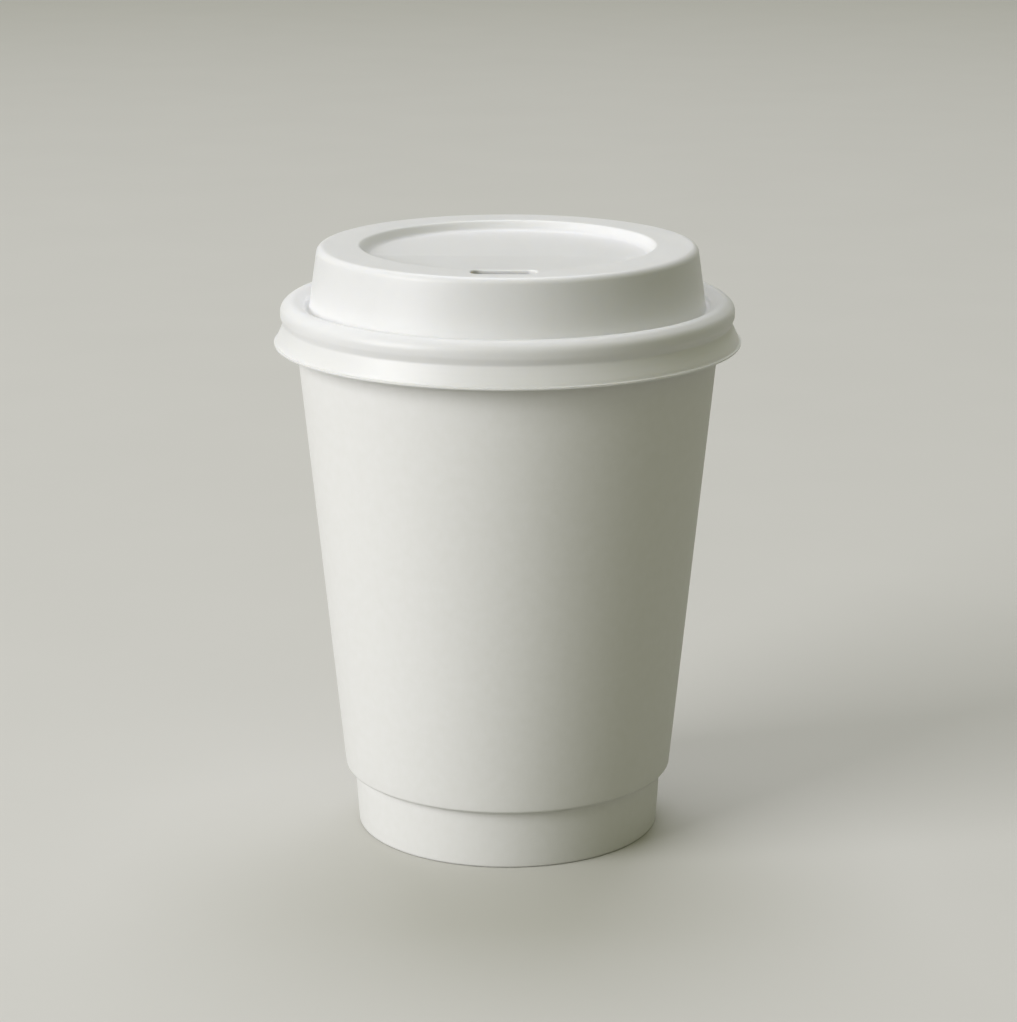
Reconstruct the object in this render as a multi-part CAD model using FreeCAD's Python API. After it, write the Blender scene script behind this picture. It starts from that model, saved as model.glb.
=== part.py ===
import FreeCAD, Part
import math
import os

from FreeCAD import Vector

# Takeaway coffee cup: a paper cup with a rolled rim, a second paper wall
# around it, and a formed plastic travel lid with a sip slot.
# Millimetres. The origin is the centre of the standing ring, +Z is up,
# and the slot in the lid lies towards -Y.

# Driving dimensions of the paper cup
cup_height = 109.6
paper_thickness = 0.4
glue_gap = 0.03
foot_radius = 31.05
foot_corner_radius = 0.5
hem_height = 7.6
waist_height = 12.3
waist_radius = 31.85
wall_bend_radius = 30.0
rim_radius = 44.4
rim_curl_radius = 1.475
rim_curl_end_angle = 228.0
floor_height = 10.0
floor_corner_radius = 0.9
skirt_end_gap = 0.25

# Driving dimensions of the second wall
wrap_thickness = 0.36
wrap_low_radius = 33.68
wrap_low_height = 12.3
wrap_curl_radius = 0.85
wrap_curl_end_radius = 0.52
wrap_curl_end_angle = 150.0
wrap_top_radius = 42.99
wrap_rim_gap = 0.12

# Driving dimensions of the glued side seams
lap_width = 9.0
lap_step = 0.25
lap_tail = 0.03
wall_seam_angle = 74.0
wrap_seam_angle = 96.0
lap_clearance = 0.25

# Driving dimensions of the lid
lid_thickness = 0.4
lid_rim_clearance = 0.25
lid_plug_clearance = 0.15
lid_height = 121.05
lip_radius = 47.0
lip_height = 101.65
lip_top_radius = 46.45
lip_top_height = 102.55
band_top_radius = 45.9
band_top_height = 103.7
groove_height = 105.7
bead_radius = 45.65
bead_low_height = 107.0
bead_shoulder_height = 109.0
bead_shoulder_round_radius = 2.0
crown_radius = 43.3
crown_height = 110.8
crown_round_radius = 2.0
crown_inner_height = 109.22
plug_round_radius = 0.35
trough_height = 108.4
trough_width = 0.85
trough_corner_radius = 0.38
dome_top_radius = 38.1
dome_corner_radius = 1.5
recess_radius = 29.6
recess_depth = 2.0
recess_wall_run = 1.3
recess_corner_radius = 0.7
ramp_start = 2.6
slot_length = 12.5
slot_width = 4.8
slot_offset = 30.8
slot_corner_radius = 1.9
slot_collar_depth = 1.2
cut_margin = 0.5
lip_corner_radius = 0.6
groove_corner_radius = 0.7
bead_low_corner_radius = 1.5


# Sheet sections. A stroke is a run of the sheet's face in the (r, z) plane,
# given as points with the normal that points to the left of the travel.
def unit(dr, dz):
    length = math.hypot(dr, dz)
    return dr / length, dz / length


def left_of(direction):
    return -direction[1], direction[0]


def arc_stroke(centre, radius, start_angle, end_angle):
    turn = 1 if end_angle > start_angle else -1
    stroke = []
    for share in (0, 0.5, 1):
        angle = math.radians(start_angle + share * (end_angle - start_angle))
        out = (math.cos(angle), math.sin(angle))
        point = (centre[0] + radius * out[0], centre[1] + radius * out[1])
        stroke.append((point, (-turn * out[0], -turn * out[1])))
    return stroke


def corner_arc(before, corner, after, radius):
    first = unit(corner[0] - before[0], corner[1] - before[1])
    second = unit(after[0] - corner[0], after[1] - corner[1])
    cross = first[0] * second[1] - first[1] * second[0]
    dot = first[0] * second[0] + first[1] * second[1]
    turn = math.atan2(cross, dot)
    reach = radius * math.tan(abs(turn) / 2)
    side = 1 if turn > 0 else -1
    start = (corner[0] - reach * first[0], corner[1] - reach * first[1])
    normal = left_of(first)
    centre = (start[0] + side * radius * normal[0], start[1] + side * radius * normal[1])
    start_angle = math.degrees(math.atan2(start[1] - centre[1], start[0] - centre[0]))
    return arc_stroke(centre, radius, start_angle, start_angle + math.degrees(turn))


def joined(strokes):
    result = []
    for stroke in strokes:
        if result:
            (tail, normal), (head, _) = result[-1][-1], stroke[0]
            if math.hypot(head[0] - tail[0], head[1] - tail[1]) > 1e-6:
                result.append([(tail, normal), (head, normal)])
        result.append(stroke)
    return result


def rounded_strokes(corners):
    """Straight runs between (r, z, radius) corners, each corner an arc."""
    first = unit(corners[1][0] - corners[0][0], corners[1][1] - corners[0][1])
    last = unit(corners[-1][0] - corners[-2][0], corners[-1][1] - corners[-2][1])
    strokes = [[(corners[0][:2], left_of(first))]]
    for before, corner, after in zip(corners, corners[1:], corners[2:]):
        strokes.append(corner_arc(before, corner, after, corner[2]))
    strokes.append([(corners[-1][:2], left_of(last))])
    return joined(strokes)


def stroke_edge(stroke, shift):
    points = [Vector(p[0] + shift * n[0], 0, p[1] + shift * n[1]) for p, n in stroke]
    if len(points) == 2:
        return Part.LineSegment(points[0], points[1]).toShape()
    return Part.Arc(points[0], points[1], points[2]).toShape()


def sheet_section(strokes, thickness):
    """The face between the strokes and the same strokes moved left by the thickness."""
    strokes = [stroke for stroke in strokes if len(stroke) > 1]
    near = [stroke_edge(stroke, 0) for stroke in strokes]
    far = [stroke_edge(stroke, thickness) for stroke in strokes]
    start_cap = Part.LineSegment(near[0].firstVertex().Point, far[0].firstVertex().Point)
    end_cap = Part.LineSegment(near[-1].lastVertex().Point, far[-1].lastVertex().Point)
    edges = near + far + [start_cap.toShape(), end_cap.toShape()]
    return Part.Face(Part.Wire(Part.__sortEdges__(edges)))


def revolved(section):
    return section.revolve(Vector(0, 0, 0), Vector(0, 0, 1), 360)


def lean_to_circle(point, centre, radius):
    """Lean from the vertical of the line from a point to the left of a circle."""
    dr = centre[0] - point[0]
    dz = centre[1] - point[1]
    return math.atan2(dr, dz) - math.asin(radius / math.hypot(dr, dz))


def one_solid(shape):
    return shape.removeSplitter().Solids[0]


# Side seams. Where the sheet's ends overlap, the outer end rises evenly out
# of the wall to a cut edge, and the inner end does the same inwards.
def seam_wedge(start_angle, end_angle, reach, low, high):
    start = math.radians(start_angle)
    end = math.radians(end_angle)
    corners = [Vector(0, 0, low)]
    for angle in (start, end):
        corners.append(Vector(reach * math.cos(angle), reach * math.sin(angle), low))
    corners.append(corners[0])
    return Part.Face(Part.makePolygon(corners)).extrude(Vector(0, 0, high - low))


def lap(run, thickness, seam_angle, radius, low, high, inward):
    """The run's own sheet, moved sideways so that it leaves the wall at one end."""
    width = lap_width / radius
    start = math.radians(seam_angle)
    anchor = start + width if inward else start
    lift = -lap_tail if inward else lap_tail
    slide = lap_step / math.sin(width)
    moved = revolved(sheet_section(run, thickness))
    along = Vector(-math.sin(anchor), math.cos(anchor), 0)
    outwards = Vector(math.cos(anchor), math.sin(anchor), 0)
    moved.translate(along * slide + outwards * lift)
    end_angle = seam_angle + math.degrees(width)
    return moved.common(seam_wedge(seam_angle, end_angle, 2 * radius, low, high))


# Inner cup: one sheet wound to a cone, its top edge rolled outwards into the
# rim and its foot folded in around the skirt of the bottom disc.
foot_lean = math.atan2(waist_radius - foot_radius, waist_height)
rim_centre = (rim_radius - rim_curl_radius, cup_height - rim_curl_radius)
rim_fold_radius = rim_curl_radius - paper_thickness
wall_lean = lean_to_circle((waist_radius, waist_height), rim_centre, rim_fold_radius)


def foot_face_radius(layers_in, height):
    """Radius in the foot, measured in from the outer face."""
    return foot_radius - layers_in / math.cos(foot_lean) + height * math.tan(foot_lean)


def wall_run():
    """The plain wall, from the foot's corner over the waist to the rim curl."""
    start_angle = 180 - math.degrees(wall_lean)
    curl = arc_stroke(rim_centre, rim_fold_radius, start_angle, rim_curl_end_angle - 360)
    foot = (foot_face_radius(0, foot_corner_radius), foot_corner_radius)
    waist = (waist_radius, waist_height, wall_bend_radius)
    return rounded_strokes([foot, waist, curl[0][0]]), curl


def wall_strokes():
    fold = 3 * paper_thickness + 2 * glue_gap
    wall, curl = wall_run()
    corners = [
        (foot_face_radius(fold, hem_height), hem_height),
        (foot_face_radius(fold, 0), 0, foot_corner_radius),
        (foot_radius, 0, foot_corner_radius),
        wall[0][-1][0],
    ]
    return joined(rounded_strokes(corners)[:-1] + wall[1:-1] + [curl])


def make_cup_wall():
    shell = revolved(sheet_section(wall_strokes(), paper_thickness))
    wall, _ = wall_run()
    foot_top = 2 * foot_corner_radius
    under_rim = cup_height - 2 * rim_curl_radius - lap_clearance
    over_floor = floor_height + lap_clearance
    under_plug = trough_height - lid_thickness - lap_clearance
    seam = (wall, paper_thickness, wall_seam_angle, rim_radius)
    outside = lap(*seam, foot_top, under_rim, False)
    inside = lap(*seam, over_floor, under_plug, True)
    return one_solid(shell.fuse(outside).fuse(inside))


# Bottom: a paper disc with its edge turned down, held in the folded foot.
def make_cup_bottom():
    skirt_face = paper_thickness + glue_gap
    skirt_end = paper_thickness + skirt_end_gap
    corners = [
        (foot_face_radius(skirt_face, skirt_end), skirt_end),
        (foot_face_radius(skirt_face, floor_height), floor_height, floor_corner_radius),
        (0, floor_height),
    ]
    return one_solid(revolved(sheet_section(rounded_strokes(corners), paper_thickness)))


# Second wall: a sheet wound around the cup, its lower edge rolled inwards
# against the cup and its top edge tucked under the rim.
def wrap_strokes():
    low = wrap_low_height
    curl_r = wrap_low_radius - wrap_curl_radius
    top = (wrap_top_radius, rim_centre[1] - rim_curl_radius - wrap_rim_gap)
    centre = (curl_r, low + wrap_curl_radius)
    dr = top[0] - centre[0]
    dz = top[1] - centre[1]
    lean = math.atan2(dr, dz) - math.asin(wrap_curl_radius / math.hypot(dr, dz))
    end_centre = (curl_r, low + wrap_curl_end_radius)
    tail = arc_stroke(end_centre, wrap_curl_end_radius, wrap_curl_end_angle, 270)
    bend = arc_stroke(centre, wrap_curl_radius, 270, 360 - math.degrees(lean))
    return joined([tail, bend, [(top, bend[-1][1])]])


def make_outer_wrap():
    strokes = wrap_strokes()
    shell = revolved(sheet_section(strokes, wrap_thickness))
    run = [stroke for stroke in strokes if len(stroke) > 1][-1:]
    (low_point, _), (top_point, _) = run[0]
    low = low_point[1] + lap_clearance
    curl_top = wrap_low_height + 2 * wrap_curl_radius
    high = top_point[1] - lap_clearance
    seam = (run, wrap_thickness, wrap_seam_angle, rim_radius)
    outside = lap(*seam, low, high, False)
    inside = lap(*seam, curl_top, high, True)
    return one_solid(shell.fuse(outside).fuse(inside))


# Lid: one sheet formed over a tool. The bead snaps over the rim, the trough
# behind it plugs the mouth, and the raised top has a round recess. The sip
# slot's edge is turned down into a short collar.
groove_radius = rim_radius + lid_rim_clearance + lid_thickness
mouth_radius = rim_radius - 2 * rim_curl_radius
plug_wall_radius = mouth_radius - lid_plug_clearance - lid_thickness
plug_low_radius = plug_wall_radius - lid_plug_clearance
recess_lean = math.atan2(recess_wall_run, recess_depth)
recess_blend = recess_corner_radius * math.tan((math.pi / 2 - recess_lean) / 2)


def lid_corners():
    recess_z = lid_height - recess_depth
    return [
        (lip_radius, lip_height),
        (lip_top_radius, lip_top_height, lip_corner_radius),
        (band_top_radius, band_top_height, lip_corner_radius + lid_thickness),
        (groove_radius, groove_height, groove_corner_radius),
        (bead_radius, bead_low_height, bead_low_corner_radius),
        (bead_radius, bead_shoulder_height, bead_shoulder_round_radius),
        (crown_radius, crown_height, crown_round_radius),
        (plug_wall_radius, crown_inner_height, plug_round_radius),
        (plug_low_radius, trough_height, trough_corner_radius),
        (plug_low_radius - trough_width, trough_height, trough_corner_radius),
        (dome_top_radius, lid_height, dome_corner_radius),
        (recess_radius, lid_height, recess_corner_radius),
        (recess_radius - recess_wall_run, recess_z, recess_corner_radius),
        (0, recess_z),
    ]


def drinking_ramp(edge_radius, floor_radius):
    """A sheet that rises from a straight crease to the front rim of the recess."""
    top = lid_height
    low = lid_height - recess_depth
    edge_x = math.sqrt(edge_radius ** 2 - ramp_start ** 2)
    floor_x = math.sqrt(floor_radius ** 2 - ramp_start ** 2)
    left = Vector(-edge_x, -ramp_start, top)
    front = Vector(0, -edge_radius, top)
    right = Vector(edge_x, -ramp_start, top)
    rim = Part.Arc(left, front, right).toShape()
    crease_left = Vector(-floor_x, -ramp_start, low)
    crease_right = Vector(floor_x, -ramp_start, low)
    crease = Part.LineSegment(crease_left, crease_right).toShape()
    return Part.makeRuledSurface(crease, rim).extrude(Vector(0, 0, -lid_thickness))


def front_half(radius):
    low = lid_height - recess_depth - lid_thickness - cut_margin
    depth = lid_height + cut_margin - low
    drum = Part.makeCylinder(radius, depth, Vector(0, 0, low))
    side = 2 * radius
    block = Part.makeBox(side, side, depth, Vector(-radius, -ramp_start - side, low))
    return drum.common(block)


def slot_block(grown, low, high):
    """A block in the slot's outline, grown by the same width all round."""
    corner = Vector(-slot_length / 2 - grown, -slot_offset - slot_width / 2 - grown, low)
    block = Part.makeBox(slot_length + 2 * grown, slot_width + 2 * grown, high - low, corner)
    upright = []
    for edge in block.Edges:
        ends = [vertex.Point for vertex in edge.Vertexes]
        if abs(ends[0].z - ends[1].z) > (high - low) / 2:
            upright.append(edge)
    return block.makeFillet(slot_corner_radius + grown, upright)


def make_lid():
    shell = revolved(sheet_section(rounded_strokes(lid_corners()), lid_thickness))
    edge_radius = recess_radius + recess_blend
    floor_radius = recess_radius - recess_wall_run - recess_blend
    shell = shell.cut(front_half(edge_radius))
    shell = shell.fuse(drinking_ramp(edge_radius, floor_radius))
    collar_end = lid_height - slot_collar_depth
    collar = slot_block(lid_thickness, collar_end, lid_height - lid_thickness / 2)
    slot = slot_block(0, collar_end - cut_margin, lid_height + cut_margin)
    return one_solid(shell.fuse(collar).cut(slot))


pieces = {
    "cup_wall": make_cup_wall,
    "cup_bottom": make_cup_bottom,
    "outer_wrap": make_outer_wrap,
    "lid": make_lid,
}

os.makedirs("parts", exist_ok=True)
for name, make in pieces.items():
    shape = make()
    box = shape.BoundBox
    print(name, "valid", shape.isValid(), "solids", len(shape.Solids))
    print("  volume %.1f" % shape.Volume, "z %.3f to %.3f" % (box.ZMin, box.ZMax))
    print("  x %.3f to %.3f" % (box.XMin, box.XMax), "y %.3f to %.3f" % (box.YMin, box.YMax))
    shape.exportStep("parts/%s.step" % name)
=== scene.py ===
import math

import bpy
import numpy as np
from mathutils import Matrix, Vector


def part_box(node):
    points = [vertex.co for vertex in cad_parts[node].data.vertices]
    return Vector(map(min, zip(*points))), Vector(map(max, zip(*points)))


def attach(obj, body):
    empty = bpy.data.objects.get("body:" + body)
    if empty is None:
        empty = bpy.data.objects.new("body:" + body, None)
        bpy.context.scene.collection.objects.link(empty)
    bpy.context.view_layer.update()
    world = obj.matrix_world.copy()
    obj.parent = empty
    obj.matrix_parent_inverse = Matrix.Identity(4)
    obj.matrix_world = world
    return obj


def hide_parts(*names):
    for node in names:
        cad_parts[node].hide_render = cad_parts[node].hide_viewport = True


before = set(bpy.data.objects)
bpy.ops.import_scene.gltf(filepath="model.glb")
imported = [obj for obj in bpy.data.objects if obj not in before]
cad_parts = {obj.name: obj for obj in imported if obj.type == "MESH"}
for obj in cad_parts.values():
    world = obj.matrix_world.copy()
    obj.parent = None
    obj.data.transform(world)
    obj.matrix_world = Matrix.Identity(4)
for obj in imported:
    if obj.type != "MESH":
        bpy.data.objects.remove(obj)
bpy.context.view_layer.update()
MM = 0.001


# The bottom is a disc of coated cup board with its edge pressed down into a
# skirt. It is held in the cup's folded foot, well clear of the table, and is
# seen from below and, with the lid off, as the floor of the cup.
BOARD = 0.4 * MM
FLOOR_CORNER = 0.9 * MM
FLOOR_ROWS = 1.5 * MM
COLUMNS_ROUND = 360
SHARP_EDGE = 40
SAME_PLACE = 1e-7
ROUNDING = 1e-6


def bend(centre, radius, start, end, step=9.0):
    """An arc of a sheet's face in the (r, z) plane, with the normals that lie left of the travel.

    Points are centre + radius * (cos a, sin a) for a from start to end degrees; the left normal is
    towards the centre where the arc turns left and away from it where it turns right.
    """
    count = max(3, int(abs(end - start) / step) + 1)
    angles = np.radians(np.linspace(start, end, count))
    out = np.stack([np.cos(angles), np.sin(angles)], 1)
    return np.array(centre) + radius * out, -np.sign(end - start) * out


def corner_bend(before, corner, after, radius, step=9.0):
    """The arc that rounds a corner between two straight runs and touches both of them."""
    first = np.subtract(corner[:2], before[:2]) / math.dist(corner[:2], before[:2])
    second = np.subtract(after[:2], corner[:2]) / math.dist(after[:2], corner[:2])
    turn = math.atan2(first[0] * second[1] - first[1] * second[0], float(first @ second))
    start = np.array(corner[:2]) - radius * math.tan(abs(turn) / 2) * first
    centre = start + math.copysign(radius, turn) * np.array([-first[1], first[0]])
    angle = math.degrees(math.atan2(start[1] - centre[1], start[0] - centre[0]))
    return bend(centre, radius, angle, angle + math.degrees(turn), step)


def run_through(corners, step=9.0):
    """Arcs for the inner (r, z, radius) corners of a polyline, with its two ends as plain points."""
    arcs = [corner_bend(*three, three[1][2], step) for three in zip(corners, corners[1:], corners[2:])]
    first, last = np.array(corners[0][:2]), np.array(corners[-1][:2])
    return [(first[None], arcs[0][1][:1])] + arcs + [(last[None], arcs[-1][1][-1:])]


def even_out(stretches, spacing):
    """One line through all the stretches, with points no further apart than the spacing.

    Points and normals are read off at the stretches' own points and at equal steps of the way
    between them, so that straight runs get points too. Points that lie in the same place become one.
    """
    points = np.concatenate([stretch[0] for stretch in stretches])
    normals = np.concatenate([stretch[1] for stretch in stretches])
    way = np.concatenate([[0], np.cumsum(np.hypot(*np.diff(points, axis=0).T))])
    keep = np.concatenate([[True], np.diff(way) > SAME_PLACE])
    points, normals, way = points[keep], normals[keep], way[keep]
    pieces = np.maximum(np.ceil(np.diff(way) / spacing - ROUNDING).astype(int), 1)
    ways = np.concatenate([way[:-1].repeat(pieces) + np.diff(way).repeat(pieces)
                           * (np.arange(pieces.sum()) - (np.cumsum(pieces) - pieces).repeat(pieces))
                           / pieces.repeat(pieces), way[-1:]])
    read = [np.interp(ways, way, column) for column in (*points.T, *normals.T)]
    normals = np.stack(read[2:], 1)
    return np.stack(read[:2], 1), normals / np.hypot(*normals.T)[:, None]


def around(radii, heights, angles):
    """Points of a surface round the axis, (r cos a, r sin a, z).

    Rows run along the section and columns run round the axis.
    """
    radii, heights, angles = np.broadcast_arrays(radii, heights, angles)
    return np.stack([radii * np.cos(angles), radii * np.sin(angles), heights], -1)


def band_faces(indices, closed=False):
    """Quads between the neighbouring rows of an index grid whose columns close on themselves."""
    if closed:
        indices = np.concatenate([indices, indices[:1]])
    right = np.roll(indices, -1, axis=1)
    return np.stack([indices[:-1], right[:-1], right[1:], indices[1:]], -1).reshape(-1, 4)


def fan_faces(ring, centre, upwards):
    """Triangles from a ring of indices to one centre point."""
    after = np.roll(ring, -1)
    first, second = (ring, after) if upwards else (after, ring)
    return np.stack([first, second, np.full_like(ring, centre)], -1)


def mesh_piece(name, points, quads, triangles, flow, sides=None):
    """A mesh object at the origin from whole arrays, smooth but for edges sharper than SHARP_EDGE degrees.

    flow is two lengths a point, kept on the mesh as the attribute "flow", which the board reads so that
    its grain follows the sheet. On a wound sheet they are the way round the cup and the way along the
    section, on the bottom and the lid x and y. sides is the material slot of each face.
    """
    mesh = bpy.data.meshes.new(name)
    corners = np.concatenate([quads.ravel(), triangles.ravel()]).astype(np.int32)
    sizes = np.concatenate([np.full(len(quads), 4), np.full(len(triangles), 3)]).astype(np.int32)
    mesh.vertices.add(len(points))
    mesh.vertices.foreach_set("co", points.astype(np.float32).ravel())
    mesh.loops.add(len(corners))
    mesh.loops.foreach_set("vertex_index", corners)
    mesh.polygons.add(len(sizes))
    mesh.polygons.foreach_set("loop_start", (np.cumsum(sizes) - sizes).astype(np.int32))
    mesh.attributes.new("flow", "FLOAT_VECTOR", "POINT").data.foreach_set(
        "vector", np.column_stack([flow, np.zeros(len(flow))]).astype(np.float32).ravel())
    if sides is not None:
        mesh.polygons.foreach_set("material_index", sides.astype(np.int32))
    mesh.update(calc_edges=True)
    mesh.validate()
    mesh.shade_smooth()
    mesh.set_sharp_from_angle(angle=math.radians(SHARP_EDGE))
    piece = bpy.data.objects.new(name, mesh)
    bpy.context.scene.collection.objects.link(piece)
    return piece


def linear(hex_colour):
    """An sRGB hex colour as the linear colour that shaders take, by the sRGB curve."""
    parts = [int(hex_colour[i:i + 2], 16) / 255 for i in (1, 3, 5)]
    return [c / 12.92 if c <= 0.04045 else ((c + 0.055) / 1.055) ** 2.4 for c in parts] + [1.0]


def add_node(material, kind, settings=None, **links):
    """Adds a shader node with its settings and links.

    Settings are the node's own properties or the values of its inputs. A link names an input, or gives
    its number after a low line, and says which output socket feeds it.
    """
    node = material.node_tree.nodes.new(kind)
    for key, value in (settings or {}).items():
        if isinstance(key, int) or key in node.inputs:
            node.inputs[key].default_value = value
        else:
            setattr(node, key, value)
    for key, socket in links.items():
        place = int(key[1:]) if key[0] == "_" and key[1:].isdigit() else key.replace("_", " ")
        material.node_tree.links.new(socket, node.inputs[place])
    return node


def new_material(name):
    """A node material that holds only a shader and the output that it feeds, and the shader itself."""
    material = bpy.data.materials.new(name)
    material.use_nodes = True
    material.node_tree.nodes.clear()
    shader = add_node(material, "ShaderNodeBsdfPrincipled")
    add_node(material, "ShaderNodeOutputMaterial", Surface=shader.outputs["BSDF"])
    return material, shader


def link(material, output, node, input_name):
    """Feeds a node's named input from an output socket."""
    material.node_tree.links.new(output, node.inputs[input_name])


# Real fibres are about 0.03 mm wide, too fine to show, so they are drawn 0.25 mm wide, half a cell.
FIBRE_CLOUD = 2.5 * MM
FIBRE_CELL = 0.5 * MM
FIBRE_SQUEEZE = 0.22
# Width of the darker line beside a seam's cut edge: partly glue, partly painted shadow of the edge's step.
GLUE_AND_SHADOW_LINE = 0.35 * MM


def board_material(name, colour, fleck_colour, roughness, coat, fibre_lift, glue_and_shadow_colour=None):
    """Cup board: bleached paper fibres under a thin smooth layer.

    Clouds of fibre and single fibres that run up the sheet shift the colour a little, and the same
    fibres lift the surface by a few thousandths of a millimetre. With a glue and shadow colour, the
    glued seam shows as a fine darker line beside its cut edge, where the way round the sheet starts:
    partly the glue, partly a painted shadow of the cut edge's step.
    """
    material, shader = new_material(name)
    flow = add_node(material, "ShaderNodeAttribute", {"attribute_name": "flow"})
    cloud = add_node(material, "ShaderNodeTexNoise",
                     {"Scale": 1 / FIBRE_CLOUD, "Detail": 4.0, "Roughness": 0.55},
                     Vector=flow.outputs["Vector"])
    stretch = add_node(material, "ShaderNodeVectorMath",
                       {"operation": "MULTIPLY", 1: (1.0, FIBRE_SQUEEZE, 1.0)},
                       _0=flow.outputs["Vector"])
    fibre = add_node(material, "ShaderNodeTexNoise",
                     {"Scale": 1 / FIBRE_CELL, "Detail": 3.0, "Roughness": 0.6},
                     Vector=stretch.outputs["Vector"])
    blend = add_node(material, "ShaderNodeMath", {"operation": "MULTIPLY_ADD", 1: 0.5},
                     _0=fibre.outputs["Fac"], _2=cloud.outputs["Fac"])
    tint = add_node(material, "ShaderNodeMapRange", {"From Min": 0.5, "From Max": 1.0},
                    Value=blend.outputs["Value"])
    mix = add_node(material, "ShaderNodeMix", {"data_type": "RGBA"}, _0=tint.outputs["Result"])
    mix.inputs[6].default_value = linear(fleck_colour)
    mix.inputs[7].default_value = linear(colour)
    face = mix.outputs[2]
    if glue_and_shadow_colour:
        # Beside the seam's cut edge the colour darkens, partly for the glue and partly as a painted shadow
        # of the cut edge.
        way = add_node(material, "ShaderNodeSeparateXYZ", Vector=flow.outputs["Vector"])
        beside = add_node(material, "ShaderNodeMapRange",
                          {"From Max": GLUE_AND_SHADOW_LINE, "interpolation_type": "SMOOTHSTEP"},
                          Value=way.outputs["X"])
        seam = add_node(material, "ShaderNodeMix", {"data_type": "RGBA"},
                        _0=beside.outputs["Result"], _7=face)
        seam.inputs[6].default_value = linear(glue_and_shadow_colour)
        face = seam.outputs[2]
    link(material, face, shader, "Base Color")
    lift = add_node(material, "ShaderNodeBump", {"Strength": 1.0, "Distance": fibre_lift},
                    Height=blend.outputs["Value"])
    link(material, lift.outputs["Normal"], shader, "Normal")
    shader.inputs["Roughness"].default_value = roughness
    shader.inputs["IOR"].default_value = 1.5
    shader.inputs["Coat Weight"].default_value = coat
    shader.inputs["Coat Roughness"].default_value = 0.3
    return material


# Board with a film of polyethylene: the film fills the fibres, so that the
# paper keeps its mottle but shines softly. It faces the drink.
lined_board = board_material("polyethylene_lined_board", "#f6f6f2", "#f3f2ee", 0.42, 0.15, 0.0015 * MM)

# Bare outer side of the board: dry, matt and a little warm. Its seam line is glue and painted shadow.
plain_board = board_material("bare_cup_board", "#f6f6f5", "#f3f3f1", 0.62, 0.0, 0.002 * MM,
                             "#c2beb2")


def sheet_section(points, normals, thickness):
    """The closed outline of a sheet, out along its near face and back along its far one.

    With it come each point's direction out of the sheet, and whether it lies on the far face.
    """
    outline = np.concatenate([points, (points + thickness * normals)[::-1]])
    outwards = np.concatenate([-normals, normals[::-1]])
    far = np.repeat([False, True], len(points))
    return outline, outwards, far


def disc_piece(name, stretches, thickness, spacing):
    """A sheet turned round the axis whose section ends on the axis with both faces."""
    points, normals = even_out(stretches, spacing)
    outline, _, _ = sheet_section(points, normals, thickness)
    outline = np.roll(outline, -len(points), axis=0)
    ring, poles = outline[1:-1], outline[[0, -1]]
    angles = np.linspace(0, 2 * np.pi, COLUMNS_ROUND, endpoint=False)
    body = around(ring[:, :1], ring[:, 1:], angles).reshape(-1, 3)
    ends = np.array([[0, 0, poles[0][1]], [0, 0, poles[1][1]]])
    index = np.arange(len(body)).reshape(len(ring), -1)
    fans = np.concatenate([fan_faces(index[0], len(body), False),
                           fan_faces(index[-1], len(body) + 1, True)])
    all_points = np.concatenate([body, ends])
    return mesh_piece(name, all_points, band_faces(index), fans, all_points[:, :2])


FOOT_RADIUS = 31.05 * MM
FOOT_CORNER = 0.5 * MM
WAIST = (31.85 * MM, 12.3 * MM)
FOOT_LEAN = math.atan2(WAIST[0] - FOOT_RADIUS, WAIST[1])
GLUE = 0.03 * MM


def foot_radius_at(layers_in, height):
    """Radius inside the leaning foot: that many metres of board in from its outer face, at a height."""
    return FOOT_RADIUS - layers_in / math.cos(FOOT_LEAN) + height * math.tan(FOOT_LEAN)


bottom_low, bottom_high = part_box("cup_bottom")
bottom = disc_piece("cup_bottom_disc", run_through([
    (foot_radius_at(BOARD + GLUE, bottom_low.z), bottom_low.z),
    (foot_radius_at(BOARD + GLUE, bottom_high.z), bottom_high.z, FLOOR_CORNER),
    (0.0, bottom_high.z),
]), BOARD, FLOOR_ROWS)
bottom.data.materials.append(lined_board)
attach(bottom, "cup")
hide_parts("cup_bottom")


# The inner cup is one blank of coated board wound to a cone. Its side seam is
# glued, its top edge is rolled outwards into the rim, and its foot is folded
# in around the bottom's skirt. The lined side is inside and on top of the rim.
RIM_RADIUS = 44.4 * MM
RIM_CURL = 1.475 * MM
RIM_CURL_END = 228.0
WALL_BEND = 30.0 * MM
WALL_ROWS = 5.0 * MM
WALL_SEAM = 74.0
HEM_HEIGHT = 7.6 * MM
LAP_WIDTH = 9.0 * MM
LAP_STEP = 0.25 * MM
LAP_FADE = 1.2 * MM
LAP_CLEARANCE = 0.25 * MM
LAP_INSIDE_END = 107.7 * MM
SEAM_COLUMNS = 14
CUT_TURN = 2e-5

# The unevenness of a wound sheet is a sum of ripples. Each has its number of waves round the cup, its
# share of the height, its drift in radians over the climb, and its phase at the table.
RIPPLE_CLIMB = 40 * MM
RIPPLES = ((2, 1.0, 2.1, 0.0), (5, 0.6, -1.7, 1.0), (9, 0.35, 3.0, 2.4))


def fade_between(heights, low, high):
    """1 between two heights, falling smoothly to 0 over the fade's length inside both of them."""
    share = np.clip(np.minimum(heights - low, high - heights) / LAP_FADE, 0, 1)
    return share * share * (3 - 2 * share)


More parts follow.
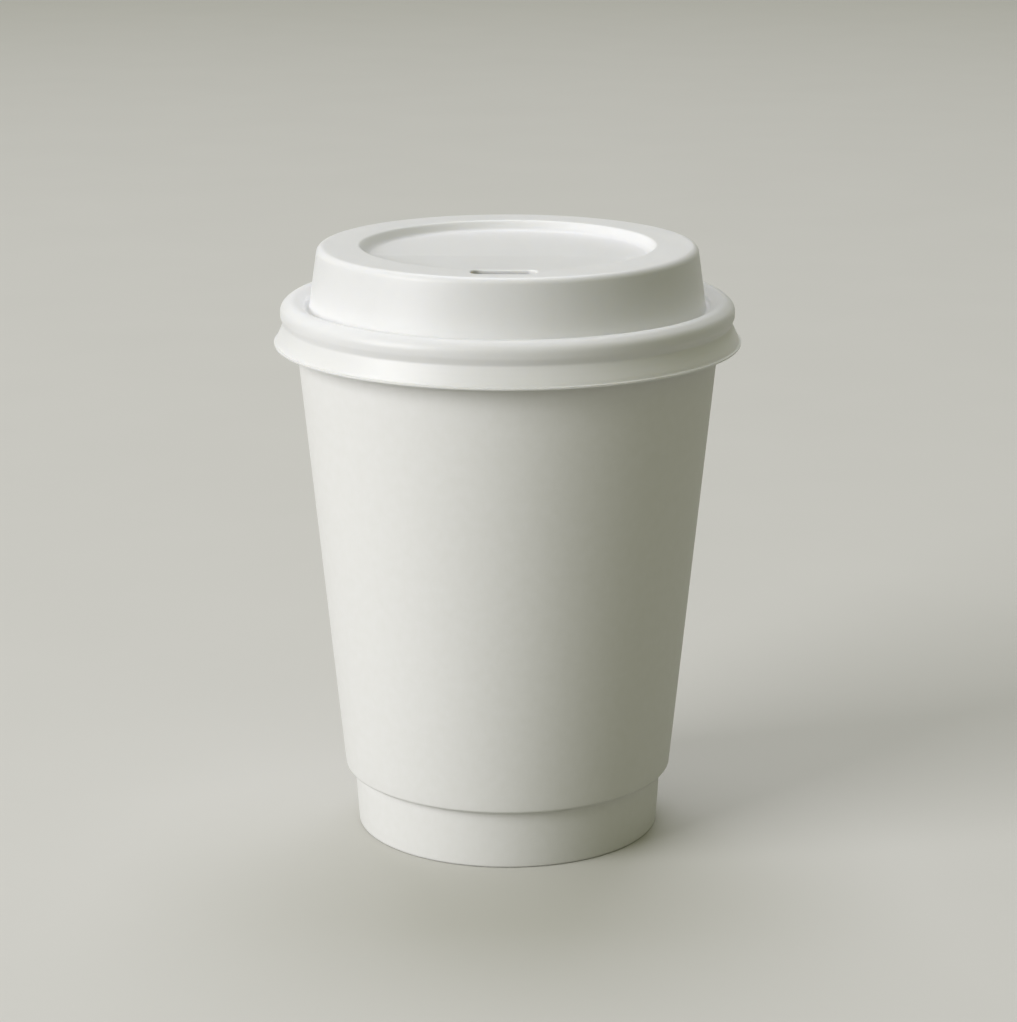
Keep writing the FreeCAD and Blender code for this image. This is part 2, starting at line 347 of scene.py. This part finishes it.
def wound_sheet(name, stretches, thickness, spacing, seam_angle, out_span, in_span, wave):
    """A sheet section turned round the axis, with a glued lap seam.

    Over the lap's width the outer face rises evenly by the step to a cut edge at the lap's end, and the
    inner face falls back evenly from a cut edge at its start. The spans are the heights between which
    each does so. wave is the height of the ripples, sines round the cup whose phases drift up the
    sheet; both faces share them.
    """
    points, normals = even_out(stretches, spacing)
    outline, outwards, far = sheet_section(points, normals, thickness)
    widest = points[:, 0].max()
    lap = LAP_WIDTH / widest
    open_turn = np.linspace(lap + CUT_TURN, 2 * np.pi - CUT_TURN, COLUMNS_ROUND)
    turn = np.concatenate([np.linspace(0, lap, SEAM_COLUMNS), open_turn])
    on_lap = turn <= lap
    rise = np.where(on_lap, turn / lap, 0)
    fall = np.where(on_lap, 1 - turn / lap, 0)
    heights = outline[:, 1]
    lift = np.where(far[:, None], np.outer(fade_between(heights, *in_span), fall),
                    np.outer(fade_between(heights, *out_span), rise)) * LAP_STEP
    angles = math.radians(seam_angle) + turn
    span = fade_between(heights, *out_span)[:, None]
    climb = (heights / RIPPLE_CLIMB)[:, None]
    ripple = sum(share * np.sin(waves * angles + drift * climb + phase)
                 for waves, share, drift, phase in RIPPLES)
    radii = outline[:, :1] + outwards[:, :1] * lift + wave * span * ripple
    levels = outline[:, 1:] + outwards[:, 1:] * lift
    body = around(radii, levels, angles)
    along = np.concatenate([[0], np.cumsum(np.hypot(*np.diff(points, axis=0).T))])
    along = np.concatenate([along, along[::-1]])
    round_way = np.where(far[:, None], turn, (turn - lap - CUT_TURN / 2) % (2 * np.pi)) * widest
    flow = np.stack([round_way, np.broadcast_to(along[:, None], round_way.shape)], -1)
    index = np.arange(body.shape[0] * body.shape[1]).reshape(body.shape[:2])
    rows_far = np.arange(len(outline)) >= len(points)
    rows_far[-1] = False
    sides = np.repeat(rows_far, index.shape[1])
    return mesh_piece(name, body.reshape(-1, 3), band_faces(index, closed=True),
                      np.zeros((0, 3), int), flow.reshape(-1, 2), sides)


def face_with(sheet, outside, inside):
    """Gives the outer face of a wound sheet its material, and then the inner face."""
    sheet.data.materials.append(outside)
    sheet.data.materials.append(inside)


_, wall_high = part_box("cup_wall")
rim_centre = (RIM_RADIUS - RIM_CURL, wall_high.z - RIM_CURL)
fold_radius = RIM_CURL - BOARD
to_rim = np.subtract(rim_centre, WAIST)
wall_lean = math.atan2(*to_rim) - math.asin(fold_radius / math.hypot(*to_rim))
curl = bend(rim_centre, fold_radius, 180 - math.degrees(wall_lean), RIM_CURL_END - 360)
fold = 3 * BOARD + 2 * GLUE
wall_line = run_through([
    (foot_radius_at(fold, HEM_HEIGHT), HEM_HEIGHT),
    (foot_radius_at(fold, 0), 0.0, FOOT_CORNER),
    (FOOT_RADIUS, 0.0, FOOT_CORNER),
    (*WAIST, WALL_BEND),
    tuple(curl[0][0]),
])[:-1] + [curl]
wall_out_span = (2 * FOOT_CORNER, wall_high.z - 2 * RIM_CURL)
wall_in_span = (bottom_high.z + LAP_CLEARANCE, LAP_INSIDE_END)
wall = wound_sheet("cup_wall_sheet", wall_line, BOARD, WALL_ROWS, WALL_SEAM,
                   wall_out_span, wall_in_span, 0.0)
face_with(wall, plain_board, lined_board)
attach(wall, "cup")
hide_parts("cup_wall")


# The second wall is bare bleached board wound around the cup to keep the heat
# off the hand. Its lower edge is rolled in against the cup, its top edge ends
# under the rim, and it is glued to itself down its own seam at the back.
WRAP = 0.36 * MM
WRAP_CURL = 0.85 * MM
WRAP_TAIL = 0.52 * MM
WRAP_TAIL_START = 150
WRAP_LOW_RADIUS = 33.68 * MM
WRAP_TOP_RADIUS = 42.99 * MM
WRAP_ROWS = 2.5 * MM
WRAP_SEAM = 96.0
WRAP_LAP_START = 2 * MM
WRAP_WAVE = 0.03 * MM
wrap_low, wrap_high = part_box("outer_wrap")
wrap_top = (WRAP_TOP_RADIUS, wrap_high.z)
curl_centre = (WRAP_LOW_RADIUS - WRAP_CURL, wrap_low.z + WRAP_CURL)
to_top = np.subtract(wrap_top, curl_centre)
wrap_lean = math.atan2(*to_top) - math.asin(WRAP_CURL / math.hypot(*to_top))
tail = bend((curl_centre[0], wrap_low.z + WRAP_TAIL), WRAP_TAIL, WRAP_TAIL_START, 270)
roll = bend(curl_centre, WRAP_CURL, 270, 360 - math.degrees(wrap_lean))
wrap_line = [tail, roll, (np.array([wrap_top]), roll[1][-1:])]
wrap_span = (wrap_low.z + WRAP_LAP_START, wrap_high.z - LAP_CLEARANCE)
wrap = wound_sheet("outer_wrap_sheet", wrap_line, WRAP, WRAP_ROWS, WRAP_SEAM,
                   wrap_span, wrap_span, WRAP_WAVE)
face_with(wrap, plain_board, plain_board)
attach(wrap, "cup")
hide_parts("outer_wrap")


# The lid is one sheet of white polystyrene drawn over a tool: a flared lip, a
# groove that grips under the rim, a bead over it, a trough that plugs the
# mouth, and a raised top with a round recess. A ramp runs up to the sip slot.
LID = 0.4 * MM
LID_ROWS = 1.6 * MM
RECESS_DEPTH = 2.0 * MM
RAMP_START = 2.6 * MM
DECK_RADIUS = 36.5 * MM
_, lid_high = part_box("lid")
lid_top = lid_high.z

# The top face's section, as radius, height and rounding, from the lip's edge up over the bead, down
# into the trough and up the raised part. The recess's section goes on from there to its floor.
lid_profile = run_through([
    (47.0 * MM, 101.84 * MM),
    (46.6 * MM, 101.93 * MM, 0.2 * MM),
    (46.45 * MM, 102.55 * MM, 0.6 * MM),
    (45.9 * MM, 103.7 * MM, 1.0 * MM),
    (45.05 * MM, 105.7 * MM, 0.7 * MM),
    (45.65 * MM, 107.0 * MM, 1.5 * MM),
    (45.65 * MM, 109.0 * MM, 2.0 * MM),
    (43.3 * MM, 110.8 * MM, 2.0 * MM),
    (40.9 * MM, 109.22 * MM, 0.35 * MM),
    (40.75 * MM, 108.4 * MM, 0.38 * MM),
    (39.9 * MM, 108.4 * MM, 0.38 * MM),
    (38.1 * MM, lid_top, 1.5 * MM),
    (DECK_RADIUS, lid_top),
])
recess_line = run_through([
    (DECK_RADIUS, lid_top),
    (29.6 * MM, lid_top, 0.7 * MM),
    (28.3 * MM, lid_top - RECESS_DEPTH, 1.5 * MM),
    (20.0 * MM, lid_top - RECESS_DEPTH),
], step=4.0)
recess_r, recess_z = np.concatenate([stretch[0] for stretch in recess_line])[::-1].T
rim_r = recess_line[1][0][0, 0]
floor_r = recess_line[2][0][-1, 0]


def deck_height(points):
    """Height of the lid's top face inside the raised rim, from x and y.

    The floor is flat behind a straight crease. In front of it the ramp climbs in straight lines along Y to
    the recess's front edge. The recess's rounded side wall closes the step that is left between either of
    them and the rim, in proportion to how high the wall's own profile is there. Past the crease's ends the
    ramp has no run left, so the root stays 2 % above the crease's distance.
    """
    x, y = points[..., 0], points[..., 1]
    reach = np.sqrt(np.maximum(rim_r ** 2 - x ** 2, (1.02 * RAMP_START) ** 2)) - RAMP_START
    climbed = lid_top - RECESS_DEPTH + RECESS_DEPTH * np.clip((-y - RAMP_START) / reach, 0, 1)
    closed = (np.interp(np.hypot(x, y), recess_r, recess_z) - recess_z[0]) / RECESS_DEPTH
    return climbed + (lid_top - climbed) * closed


def deck_normals(points, reach=0.05 * MM):
    """Downward unit normals of the lid's top face, from the height differences a reach either side."""
    slopes = [(deck_height(points + step) - deck_height(points - step)) / (2 * reach)
              for step in np.eye(3)[:2] * reach]
    normals = np.stack([slopes[0], slopes[1], -np.ones_like(slopes[0])], -1)
    return normals / np.linalg.norm(normals, axis=-1, keepdims=True)


# Columns are even on both sides of the crease, which gets a column of its own at each end.
# Rows follow the side's section, the raised top, the recess's wall and then shrink to the crease.
BACK_COLUMNS = 190
FRONT_COLUMNS = 170
TOP_RINGS = np.linspace(35.6, 30.6, 6) * MM
WALL_RINGS = 17
CREASE_RINGS = 28
crease_turn = math.asin(RAMP_START / floor_r)
lid_angles = np.concatenate([
    np.linspace(-crease_turn, np.pi + crease_turn, BACK_COLUMNS, endpoint=False),
    np.linspace(np.pi + crease_turn, 2 * np.pi - crease_turn, FRONT_COLUMNS, endpoint=False)])
side_points, side_normals = even_out(lid_profile, LID_ROWS)
side = around(side_points[:, :1], side_points[:, 1:], lid_angles)
side_inwards = around(side_normals[:, :1], side_normals[:, 1:], lid_angles)
rings = np.concatenate([TOP_RINGS, np.linspace(rim_r + 0.2 * MM, floor_r, WALL_RINGS)])
outer_rings = around(rings[:, None], 0.0, lid_angles)
crease_middle = np.array([0.0, -RAMP_START, 0.0])
shrink = np.linspace(1, 0, CREASE_RINGS + 2)[1:-1, None, None]
inner_rings = crease_middle + shrink * (outer_rings[-1] - crease_middle)
deck = np.concatenate([outer_rings, inner_rings])
deck[..., 2] = deck_height(deck)
top_face = np.concatenate([side, deck])
under_face = top_face + LID * np.concatenate([side_inwards, deck_normals(deck)])
count = top_face.shape[0] * top_face.shape[1]
top_index = np.arange(count).reshape(top_face.shape[:2])
under_index = top_index + count

# The slot is punched through the ramp's top edge and its edge is turned down into a short collar.
# A block of cells around it gives way to rings that run from the block's border over the slot's
# edge, down inside the collar, up its outer face and back out on the underside.
SLOT_HALF = np.array([6.25 * MM, 2.4 * MM])
SLOT_CORNER = 1.9 * MM
SLOT_MIDDLE = np.array([0.0, -30.8 * MM, 0.0])
SLOT_SEARCH = 12 * MM
HALVINGS = 40
EDGE_ROUND = 0.3 * MM
EDGE_TURNS = np.radians([0, 22, 45, 67, 90])
UNDER_TURNS = np.radians([0, 30, 60, 90])
COLLAR_END = lid_top - 1.2 * MM
COLLAR_BEVEL = 0.06 * MM
SPREAD_SHARES = (0.3, 0.6, 0.85, 1.0)
HALF_COLUMNS = 17
front_column = BACK_COLUMNS + FRONT_COLUMNS // 2
first_row = len(side) + 1
last_row = len(side) + len(outer_rings)
left_column, right_column = front_column - HALF_COLUMNS, front_column + HALF_COLUMNS


def block_border(index):
    """The block's border, counterclockwise from above, starting at its outer left corner."""
    rows = slice(first_row, last_row + 1)
    columns = slice(left_column, right_column + 1)
    block = index[rows, columns]
    return np.concatenate([block[0, :-1], block[:-1, -1], block[-1, :0:-1], block[:0:-1, 0]])


def slot_ring(directions, level):
    """Where rays from the slot's middle meet the line that lies level metres outside its edge.

    The edge is a rounded rectangle; its distance field is evaluated along each ray and the crossing is
    found by halving.
    """
    low, high = np.zeros(len(directions)), np.full(len(directions), SLOT_SEARCH)
    for _ in range(HALVINGS):
        middle = (low + high) / 2
        q = np.abs(directions[:, :2] * middle[:, None]) - (SLOT_HALF - SLOT_CORNER)
        field = np.hypot(*np.maximum(q, 0).T) + np.minimum(q.max(1), 0) - SLOT_CORNER
        low, high = np.where(field < level, middle, low), np.where(field < level, high, middle)
    return SLOT_MIDDLE + directions * low[:, None]


def face_ring(points, below=0.0):
    """Points brought onto the lid's top face, or the given depth under it."""
    return np.column_stack([points[:, :2], deck_height(points) - below])


top_border, under_border = block_border(top_index), block_border(under_index)
border_points = top_face.reshape(-1, 3)[top_border]
directions = (border_points - SLOT_MIDDLE) * [1, 1, 0]
directions /= np.linalg.norm(directions, axis=1, keepdims=True)
near_edge = slot_ring(directions, LID + EDGE_ROUND)
spread = [share * near_edge + (1 - share) * border_points for share in SPREAD_SHARES]
patch_rings = [face_ring(ring) for ring in spread]
patch_rings += [face_ring(slot_ring(directions, EDGE_ROUND * (1 - math.sin(a))),
                          EDGE_ROUND * (1 - math.cos(a))) for a in EDGE_TURNS]
for level, rise in ((0.0, COLLAR_BEVEL), (COLLAR_BEVEL, 0.0),
                    (LID - COLLAR_BEVEL, 0.0), (LID, COLLAR_BEVEL)):
    ring = slot_ring(directions, level)
    ring[:, 2] = COLLAR_END + rise
    patch_rings.append(ring)
patch_rings += [face_ring(slot_ring(directions, LID + EDGE_ROUND * (1 - math.cos(a))),
                          LID + EDGE_ROUND * (1 - math.sin(a))) for a in UNDER_TURNS]
patch_rings += [face_ring(ring, LID) for ring in spread[2::-1]]
patch_points = np.concatenate(patch_rings)
patch_index = 2 * count + 2 + np.arange(len(patch_points)).reshape(len(patch_rings), -1)
patch_quads = band_faces(np.concatenate([top_border[None], patch_index, under_border[None]]))


def around_block(quads):
    """The quads of a face of the lid without those of the block."""
    cells = quads.reshape(-1, len(lid_angles), 4)
    keep = np.ones(cells.shape[:2], bool)
    keep[first_row:last_row, left_column:right_column] = False
    return cells[keep]


top_quads = around_block(band_faces(top_index))
under_quads = around_block(band_faces(under_index))[:, ::-1]
lip_quads = band_faces(np.stack([under_index[0], top_index[0]]))
poles = np.array([crease_middle, crease_middle])
poles[:, 2] = deck_height(poles) - [0, LID]
lid_points = np.concatenate([top_face.reshape(-1, 3), under_face.reshape(-1, 3), poles, patch_points])
lid_quads = np.concatenate([top_quads, under_quads, lip_quads, patch_quads])
lid_fans = np.concatenate([fan_faces(top_index[-1], 2 * count, True),
                           fan_faces(under_index[-1], 2 * count + 1, False)])
lid = mesh_piece("lid_sheet", lid_points, lid_quads, lid_fans, lid_points[:, :2])


LID_CLOUD = 9 * MM
LID_GRAIN = 0.8 * MM
LID_LIFT = 0.03 * MM


def formed_plastic(name, colour, cloud_colour):
    """White polystyrene sheet: clean, satin, with light that goes a little way in.

    Broad clouds a few millimetres across vary how tightly it shines and lift the face by hundredths of a
    millimetre, as the sheet cools unevenly on its tool. The eye sees it in how the highlights waver.
    """
    material, shader = new_material(name)
    place = add_node(material, "ShaderNodeTexCoord")
    cloud = add_node(material, "ShaderNodeTexNoise",
                     {"Scale": 1 / LID_CLOUD, "Detail": 2.0, "Roughness": 0.5},
                     Vector=place.outputs["Object"])
    fine = add_node(material, "ShaderNodeTexNoise",
                    {"Scale": 1 / LID_GRAIN, "Detail": 2.0, "Roughness": 0.5},
                    Vector=place.outputs["Object"])
    shine = add_node(material, "ShaderNodeMapRange",
                     {"From Min": 0.3, "From Max": 0.7, "To Min": 0.36, "To Max": 0.44},
                     Value=cloud.outputs["Fac"])
    link(material, shine.outputs["Result"], shader, "Roughness")
    both = add_node(material, "ShaderNodeMath", {"operation": "MULTIPLY_ADD", 1: 0.04},
                    _0=fine.outputs["Fac"], _2=cloud.outputs["Fac"])
    lift = add_node(material, "ShaderNodeBump", {"Strength": 1.0, "Distance": LID_LIFT},
                    Height=both.outputs["Value"])
    link(material, lift.outputs["Normal"], shader, "Normal")
    tint = add_node(material, "ShaderNodeMix", {"data_type": "RGBA"}, _0=cloud.outputs["Fac"])
    tint.inputs[6].default_value = linear(colour)
    tint.inputs[7].default_value = linear(cloud_colour)
    link(material, tint.outputs[2], shader, "Base Color")
    shader.inputs["IOR"].default_value = 1.59
    shader.inputs["Specular IOR Level"].default_value = 0.4
    shader.inputs["Subsurface Weight"].default_value = 1.0
    shader.inputs["Subsurface Radius"].default_value = (1.0, 0.97, 0.9)
    shader.inputs["Subsurface Scale"].default_value = 0.6 * MM
    return material


lid.data.materials.append(formed_plastic("white_polystyrene", "#f8f8f8", "#f5f5f4"))
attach(lid, "lid")
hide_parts("lid")


# The stage is a wide plain pale floor. It runs back far enough to fill the
# picture, because the camera looks down a little. Its paint takes a darker
# colour for light that bounces back to the cup than for the eye.
FLOOR_REACH = 9.0
PAINT_CLOUD = 60 * MM
floor_corners = FLOOR_REACH * np.array([(-1, -1, 0), (1, -1, 0), (1, 1, 0), (-1, 1, 0)])
floor_mesh = bpy.data.meshes.new("floor")
floor_mesh.from_pydata(floor_corners, [], [(0, 1, 2, 3)])
floor = bpy.data.objects.new("floor", floor_mesh)
bpy.context.scene.collection.objects.link(floor)
paint, paint_shader = new_material("matt_studio_paint")
paint_cloud = add_node(paint, "ShaderNodeTexNoise", {"Scale": 1 / PAINT_CLOUD, "Detail": 3.0},
                       Vector=add_node(paint, "ShaderNodeTexCoord").outputs["Object"])
paint_mix = add_node(paint, "ShaderNodeMix", {"data_type": "RGBA"}, _0=paint_cloud.outputs["Fac"])
paint_mix.inputs[6].default_value = linear("#d5d4cf")
paint_mix.inputs[7].default_value = linear("#d9d8d3")
seen = add_node(paint, "ShaderNodeLightPath")
direct = add_node(paint, "ShaderNodeMath", {"operation": "MAXIMUM"}, _0=seen.outputs["Is Camera Ray"],
                  _1=seen.outputs["Is Glossy Ray"])
bounce = add_node(paint, "ShaderNodeMix", {"data_type": "RGBA"}, _0=direct.outputs["Value"],
                  _7=paint_mix.outputs[2])
bounce.inputs[6].default_value = linear("#8d8c84")
link(paint, bounce.outputs[2], paint_shader, "Base Color")
paint_shader.inputs["Roughness"].default_value = 0.55
floor.data.materials.append(paint)


# A large soft window stands to the left, a little in front and above. A
# ceiling lamp behind the cup and a dim, faintly yellow room fill the shade.
def soft_light(name, place, target, size, power, colour):
    """A square area light, by where it is, what it looks at, its side in metres and its power in watts."""
    lamp = bpy.data.lights.new(name, "AREA")
    lamp.size = size
    lamp.energy = power
    lamp.color = linear(colour)[:3]
    holder = bpy.data.objects.new(name, lamp)
    holder.location = place
    holder.rotation_euler = (Vector(target) - Vector(place)).to_track_quat("-Z", "Y").to_euler()
    bpy.context.scene.collection.objects.link(holder)


LIGHT_SIDE = 1.6
cup_middle = (0.0, 0.0, 0.065)
soft_light("window", (-1.99, -1.29, 1.12), cup_middle, LIGHT_SIDE, 53.0, "#fcfbff")
soft_light("ceiling", (0.0, 1.1, 2.4), cup_middle, LIGHT_SIDE, 30.0, "#f2f1ff")
world = bpy.data.worlds.new("room")
bpy.context.scene.world = world
world.use_nodes = True
room_light = world.node_tree.nodes["Background"]
room_light.inputs["Color"].default_value = linear("#fcfeda")
room_light.inputs["Strength"].default_value = 0.27


# The camera stands where it stood for the photograph: 0.59 m in front of the
# cup, 0.22 m up, and turned 1.4 degrees round it from the lid's own middle.
CAMERA_DISTANCE = 0.59273
CAMERA_HEIGHT = 0.22299
AIM_HEIGHT = 0.06579
VIEW_TURN = 1.4
LID_ASIDE = 0.19 * MM
camera_data = bpy.data.cameras.new("camera")
camera_data.lens = 105.47
camera_data.sensor_width = 36.0
camera_data.clip_start = 0.02
camera_data.clip_end = 40.0
camera = bpy.data.objects.new("camera", camera_data)
view_turn = math.radians(VIEW_TURN)
aside = LID_ASIDE * np.array([math.cos(view_turn), math.sin(view_turn)])
away = CAMERA_DISTANCE * np.array([math.sin(view_turn), -math.cos(view_turn)])
camera.location = (*(aside + away), CAMERA_HEIGHT)
look = Vector((*aside, AIM_HEIGHT)) - camera.location
camera.rotation_euler = look.to_track_quat("-Z", "Y").to_euler()
bpy.context.scene.collection.objects.link(camera)
bpy.context.scene.camera = camera
bpy.context.scene.view_settings.view_transform = "Standard"
